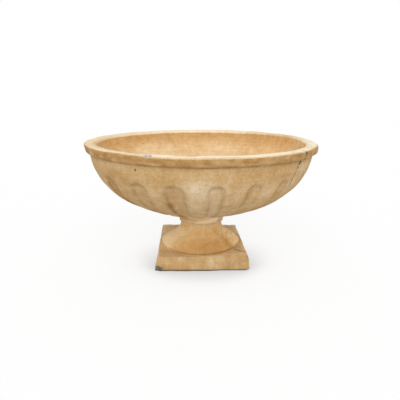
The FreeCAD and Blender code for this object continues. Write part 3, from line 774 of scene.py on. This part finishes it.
# Square in plan with rounded corners: r = half * (|sin|^n + |cos|^n)^(-1/n). Rows near the axis stay
# round, and the square's reach beyond the circle comes in with the square of the radius.
def buildPlinth(p):
    low, high = boxOf("plinth")
    base, top, half = low[2], high[2], high[0]
    brow, roof = half - p.draft, base + p.recessDepth
    bore, recess, footRound, topRound = p.boreRadius, p.recessRadius, p.baseRound, p.topRound
    runs = [
        (straightRun((bore, roof), (recess, roof)), 4),
        (straightRun((recess, roof), (recess, base)), 5),
        (straightRun((recess, base), (half - footRound, base)), 12),
        (curveRun((half - footRound, base + footRound), footRound, -90, 0), 4),
        (straightRun((half, base + footRound), (brow, top - topRound)), 20),
        (curveRun((brow - topRound, top - topRound), topRound, 0, 90), 7),
        (straightRun((brow - topRound, top), (bore, top)), 34),
        (straightRun((bore, top), (bore, roof)), 4),
    ]
    focus = [(corner, 5, 2.5) for corner in (-135, -45, 45, 135)]
    points, radius, level, part, angles = turnedGrid(runs, p.arrisWear, p.columns, focus)
    turn, n = np.radians(angles), p.squareness
    square = half * (np.abs(np.sin(turn)) ** n + np.abs(np.cos(turn)) ** n) ** (-1 / n)
    share = np.clip((radius - recess) / (half - recess), 0, None) ** 2
    points[..., :2] *= (1 + (square - half) * share / radius)[..., None]

    # this casting's own shape: skewed and lifted at the back, corners moved, sides hollow, front fallen
    left, right = p.backSkew
    skew = left + (right - left) * (points[..., 0] / half + 1) / 2
    points[..., 1] += skew * np.clip(points[..., 1] / half, 0, None) ** 2
    across, back = (np.clip(points[..., k] / half, -1, 1) / 2 + 0.5 for k in (0, 1))
    shares = ((1 - across) * (1 - back), across * (1 - back), (1 - across) * back, across * back)
    beyondRecess = (radius > recess + 1)[..., None]
    for share, move in zip(shares, p.corners):
        points[..., :2] += share[..., None] * np.array(move) * beyondRecess
    bow = np.clip(1 - (points[..., 1] / half) ** 2, 0, 1) * ease(radius, 60, half)
    points[..., 0] *= 1 - p.hollowSides * bow
    points[..., 2] += p.backLift * ease(points[..., 1], half - 20, half) * ease(level, base, top)
    points[..., 2] -= frontSag(points) * ease(level, base + 8, top - 5)

    # wear: uneven faces, nicked edges, pieces broken off, a swelling front right corner and a crack in the top
    normals = gridNormals(points)
    uneven = 0.7 * waveNoise(points, 80, 31) + 0.3 * waveNoise(points, 22, 32)
    nicks = 1.3 * np.clip(waveNoise(points, 10, 33) - 1.4, 0, 1.2) * np.isin(part, (footArris, topArris))
    points += normals * (among(part, footArris, plinthTop) * 0.6 * uneven - nicks)[..., None]
    core = 0 * level + 0 * angles
    for index, (centre, radii, bare) in enumerate(p.breaks):
        points, broken = scoop(points, centre, radii, 40 + index, 0.04, 12)
        core = np.maximum(core, bare * broken)
    points[..., 2] = np.maximum(points[..., 2], base)
    swell = bell(level, base + 36, 16) * bell(points[..., 0], half, 12) * ease(points[..., 1], 0, -half)
    points[..., 0] += p.swell * swell
    fromCrack = lineDistance(points[..., 0], points[..., 1], p.crack) + 40 * ~among(part, topArris, plinthTop)
    points -= normals * (p.crackDepth * bell(fromCrack, 0, p.crackWidth))[..., None]

    # wash: paler sides and top, the top paler still towards the back as painted light, a pale patch and a stain on
    # the front, a strip before the socle darkened by dirt and painted shade
    x, y = points[..., 0], points[..., 1]
    flat, upright = part == plinthTop, among(part, footArris, topArris)
    front = upright * ease(-y, half - 18, half - 9)
    strip = flat * ease(-y, 40, 95) * ease(-x, -70, 10)
    wash = 0.5 + 0.1 * front - 0.3 * upright * (1 - front) + 0.2 * strip + 0.1 * bell(level, base, 10)
    # painted light: the top paler still towards the back, where the bowl and socle shade it
    wash -= (0.32 + 0.32 * ease(y, -30, 60)) * flat
    wash -= 0.6 * front * bell(x, 25, 15) * bell(level, base + 28, 20)
    wash += 0.14 * front * bell(x, -60, 40) * bell(level, base + 20, 18)
    wash += 0.09 * front * waveNoise(points * [1, 1, 0.6], 26, 34)
    # painted shade round the socle's foot, except on the lit left
    besideBed = ease(radius, 131, 124) * (1 - 0.8 * near(angles, -85, 40))
    # painted shade: a dark contact line along the base, darker towards the right on the front, and on the hidden
    # sole and recess; the strip carries dirt and painted shade
    grime = strongest(0.8 * bell(level, base, 3), (0.15 + 0.09 * ease(x, 20, half)) * front,
                      flat * strongest(0.04, 0.22 * besideBed), 0.17 * strip, 0.5 * (part <= plinthSole))
    # painted shadow: a dark band along the front's foot where it meets the ground; the crack is painted dark as
    # well
    contactShadowFoot = front * bell(level, base + 1, 4.4 - 1.4 * ease(x, -20, 60))
    masks = {"wash": wash, "grime": np.clip(grime, 0, 1), "core": core, "warm": 0.4 * flat - 0.35 * strip,
             "deep": 0.9 * strongest(bell(fromCrack, 0, 2.1), contactShadowFoot)}
    closedPiece("plinthCasting", points, masks, castStone("plinthStone", p.look), "cast_stone", "plinth")


buildPlinth(named(plinth))


# Mortar beds: a ring whose outer face bulges and wanders in and out

mortar = {
    "columns": 300,
    # bulge beyond the raked face, how far its lower edge spreads, its unevenness, how far it laps over the worn
    # edges, its wash, how much paler it is on the left as painted light, and whether it follows the plinth's fall
    "foot": {"bulge": 2.4, "toe": 6, "wander": 0.8, "lap": 1.2, "wash": 0.7, "paleLeft": 0.6, "sags": 1},
    "neck": {"bulge": 1.1, "toe": 0, "wander": 0.2, "lap": 2.2, "wash": 0.2, "paleLeft": 0, "sags": 0},
    "look": {**socle["look"], "bare": (240, 220, 190), "pale": (226, 200, 162), "ochre": (204, 164, 112),
             "umber": (150, 112, 70), "grime": (84, 64, 42), "grain": 0.8},
}
mortarStone = castStone("jointMortar", mortar["look"])


def buildBed(name, node, seed, bed):
    low, high = boxOf(node)
    inner, outer, lap = socle["boreRadius"], high[0], bed.lap
    corners = [(inner, low[2]), (outer + bed.toe, low[2] - lap), (outer, high[2] + lap), (inner, high[2])]
    runs, outerFace = cornerRuns(corners, (6, 7, 6, 3)), 1
    points, _, _, part, angles = turnedGrid(runs, 0.6, mortar["columns"])
    out = bed.bulge + bed.wander * waveNoise(points, 24, seed)
    points += outwards(points) * ((part == outerFace) * out)[..., None]
    points[..., 2] -= bed.sags * frontSag(points)
    # painted light: the bed is paler on the lit left
    masks = {"wash": bed.wash - bed.paleLeft * near(angles, -85, 40)}
    closedPiece(name, points, masks, mortarStone, "mortar", node)


buildBed("footMortar", "foot_bed", 51, named(mortar["foot"]))
buildBed("neckMortar", "neck_bed", 52, named(mortar["neck"]))


# Drain fittings

# Hot-dip zinc: grey spangles, each crystal a little lighter or darker, with spots of rust.
def makeZinc():
    tree, given, put = newGroup("zincSpangle", "Vector Zinc Spangle Rust Age", "Color Rough Height")
    crystals = addNode(tree, "TexVoronoi", Vector=given["Vector"], Scale=240.0).outputs["Color"]
    shade = addNode(tree, "SeparateColor", Color=crystals).outputs[0]
    spotted = noiseAt(tree, given["Vector"], 150, 4, 0.65)
    zinc = mixed(tree, between(tree, shade, 0.0, 1.0, 0.0, 0.35), given["Zinc"], given["Spangle"])
    rust = between(tree, maths(tree, "ADD", spotted, given["Age"]), 0.78, 0.95)
    feed(tree, put["Color"], mixed(tree, rust, zinc, given["Rust"]))
    rough = maths(tree, "ADD", between(tree, shade, 0, 1, 0.38, 0.55), maths(tree, "MULTIPLY", rust, 0.3))
    feed(tree, put["Rough"], rough)
    feed(tree, put["Height"], spotted)
    return tree


fittings = {"zinc": (150, 153, 154), "spangle": (225, 226, 226), "rust": (120, 70, 38), "age": 0.18,
            "rubber": (34, 33, 32), "bloom": (92, 90, 86), "pitch": 1.814, "threadDepth": 1.1, "threadLength": 34,
            "threadFade": 4, "bore": 10.6, "chamfer": 1, "columns": 48}
zincGroup = makeZinc()


def zincMaterial(name, f):
    material, tree, shader, vector = newMaterial(name)
    zinc = placeGroup(tree, zincGroup, Vector=vector, Zinc=paint(*f.zinc), Spangle=paint(*f.spangle),
                      Rust=paint(*f.rust), Age=f.age)
    dress(tree, shader, zinc["Color"], zinc["Rough"], zinc["Height"], 0.15, 0.0004)
    shader.inputs["Metallic"].default_value = 0.85
    return material


def rubberMaterial(name, f):
    material, tree, shader, vector = newMaterial(name)
    bloom = noiseAt(tree, vector, 180, 4, 0.6)
    colour = mixed(tree, between(tree, bloom, 0.35, 0.75, 0.0, 0.5), paint(*f.rubber), paint(*f.bloom))
    dress(tree, shader, colour, between(tree, bloom, 0.3, 0.7, 0.7, 0.9), bloom, 0.2, 0.0004)
    return material


# Tube with a rounded screw thread at both ends: the outside falls by depth * (1 - cos(phase)) / 2,
# phase one turn for each pitch up and for each turn round.
def buildTube(f, material):
    low, high = boxOf("tie_tube")
    base, top, outer, cut = low[2], high[2], high[0], f.chamfer
    ends = base + f.threadLength, top - f.threadLength
    rows = int(f.threadLength / f.pitch * 7)
    corners = [(f.bore, base), (outer - cut, base), (outer, base + cut), (outer, ends[0]), (outer, ends[1]),
               (outer, top - cut), (outer - cut, top), (f.bore, top)]
    runs = cornerRuns(corners, (2, 3, rows, 8, rows, 3, 2, 12))
    points, _, level, part, angles = turnedGrid(runs, 0.12, f.columns)
    phase = 2 * np.pi * (level / f.pitch - angles / 360)
    runOut = f.threadFade
    fade = strongest(ease(level, ends[0], ends[0] - runOut), ease(level, ends[1], ends[1] + runOut))
    fall = among(part, 1, 5) * fade * f.threadDepth * (1 - np.cos(phase)) / 2  # runs 1 to 5 are the outside
    points -= outwards(points) * fall[..., None]
    closedPiece("drainTube", points, {}, material, "galvanised_steel", "tie_tube")


zincCoat = zincMaterial("zincCoat", named(fittings))
sealRubber = rubberMaterial("sealRubber", named(fittings))
buildTube(named(fittings), zincCoat)
coats = {"upper_washer": zincCoat, "upper_backnut": zincCoat, "lower_washer": zincCoat, "lower_backnut": zincCoat,
         "upper_seal": sealRubber}
for nodeName, coat in coats.items():
    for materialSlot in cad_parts[nodeName].material_slots:
        materialSlot.material = coat
print("fittings dressed:", len(coats))


# Stage

stage = {"floorSize": 60.0, "floorTone": 0.68, "floorLift": 0.88, "skyLight": 0.68,
         "keyPower": 1.6, "keyAngle": 60, "keyTurn": (50, 0, -4),
         "contact": 0.19, "contactDark": 0.31, "contactBack": 0.97}


def raysSeen(tree):  # 1 for what the camera sees, directly or in a glossy or clear surface
    path = addNode(tree, "LightPath").outputs
    seen = maths(tree, "MAXIMUM", path["Is Camera Ray"], path["Is Glossy Ray"])
    return maths(tree, "MAXIMUM", seen, path["Is Transmission Ray"])


def buildFloor(s):
    half = s.floorSize / 2
    mesh = bpy.data.meshes.new("paleFloor")
    mesh.from_pydata([(-half, -half, 0), (half, -half, 0), (half, half, 0), (-half, half, 0)], [], [(0, 1, 2, 3)])
    floor = stand("paleFloor", mesh)
    material = bpy.data.materials.new("paleFloor")
    material.use_nodes = True
    tree = material.node_tree
    tree.nodes.clear()
    tone = s.floorTone
    matt = addNode(tree, "BsdfDiffuse", Color=(tone, tone, tone, 1)).outputs[0]
    bright = addNode(tree, "BsdfDiffuse", Color=(0.96, 0.96, 0.96, 1)).outputs[0]
    # painted shadow: the floor's glow is darkened by ambient occlusion near the object, most towards the front
    openness = addNode(tree, "AmbientOcclusion", samples=16, Distance=s.contact).outputs["AO"]
    place = addNode(tree, "SeparateXYZ", Vector=addNode(tree, "TexCoord").outputs["Object"])
    darkest = between(tree, place.outputs["Y"], -0.1, 0.1, s.contactDark, s.contactBack)
    paler = maths(tree, "MULTIPLY", openness, maths(tree, "SUBTRACT", 1.0, darkest))
    shade = maths(tree, "ADD", darkest, paler)
    glow = addNode(tree, "Emission", Color=(1, 1, 1, 1), Strength=shade).outputs[0]
    lit = addNode(tree, "MixShader", (1, bright), (2, glow), Fac=s.floorLift).outputs[0]
    picked = addNode(tree, "MixShader", (1, matt), (2, lit), Fac=raysSeen(tree)).outputs[0]
    addNode(tree, "OutputMaterial", Surface=picked)
    mesh.materials.append(material)


def buildLight(s):
    lamp = bpy.data.lights.new("keySky", "SUN")
    lamp.energy = s.keyPower
    lamp.angle = radians(s.keyAngle)
    stand("keySky", lamp).rotation_euler = [radians(v) for v in s.keyTurn]
    world = bpy.data.worlds.new("studio")
    bpy.context.scene.world = world
    world.use_nodes = True
    tree = world.node_tree
    tree.nodes.clear()
    strength = between(tree, raysSeen(tree), 0.0, 1.0, s.skyLight, 1.0)
    sky = addNode(tree, "Background", Color=(1, 1, 1, 1), Strength=strength).outputs[0]
    addNode(tree, "OutputWorld", Surface=sky)


camera = {"place": (-0.0357, -1.1968, 0.5089), "pitch": 0.265, "heading": 0.0268, "lens": 34.53}


def buildCamera(c):
    lens = bpy.data.cameras.new("front")
    lens.lens, lens.sensor_width = c.lens, 36
    eye = stand("front", lens)
    eye.location = c.place
    eye.rotation_euler = (pi / 2 - c.pitch, 0, -c.heading)
    bpy.context.scene.camera = eye


buildFloor(named(stage))
buildLight(named(stage))
buildCamera(named(camera))
bpy.context.scene.view_settings.view_transform = "Standard"
print("stage, light and camera set")
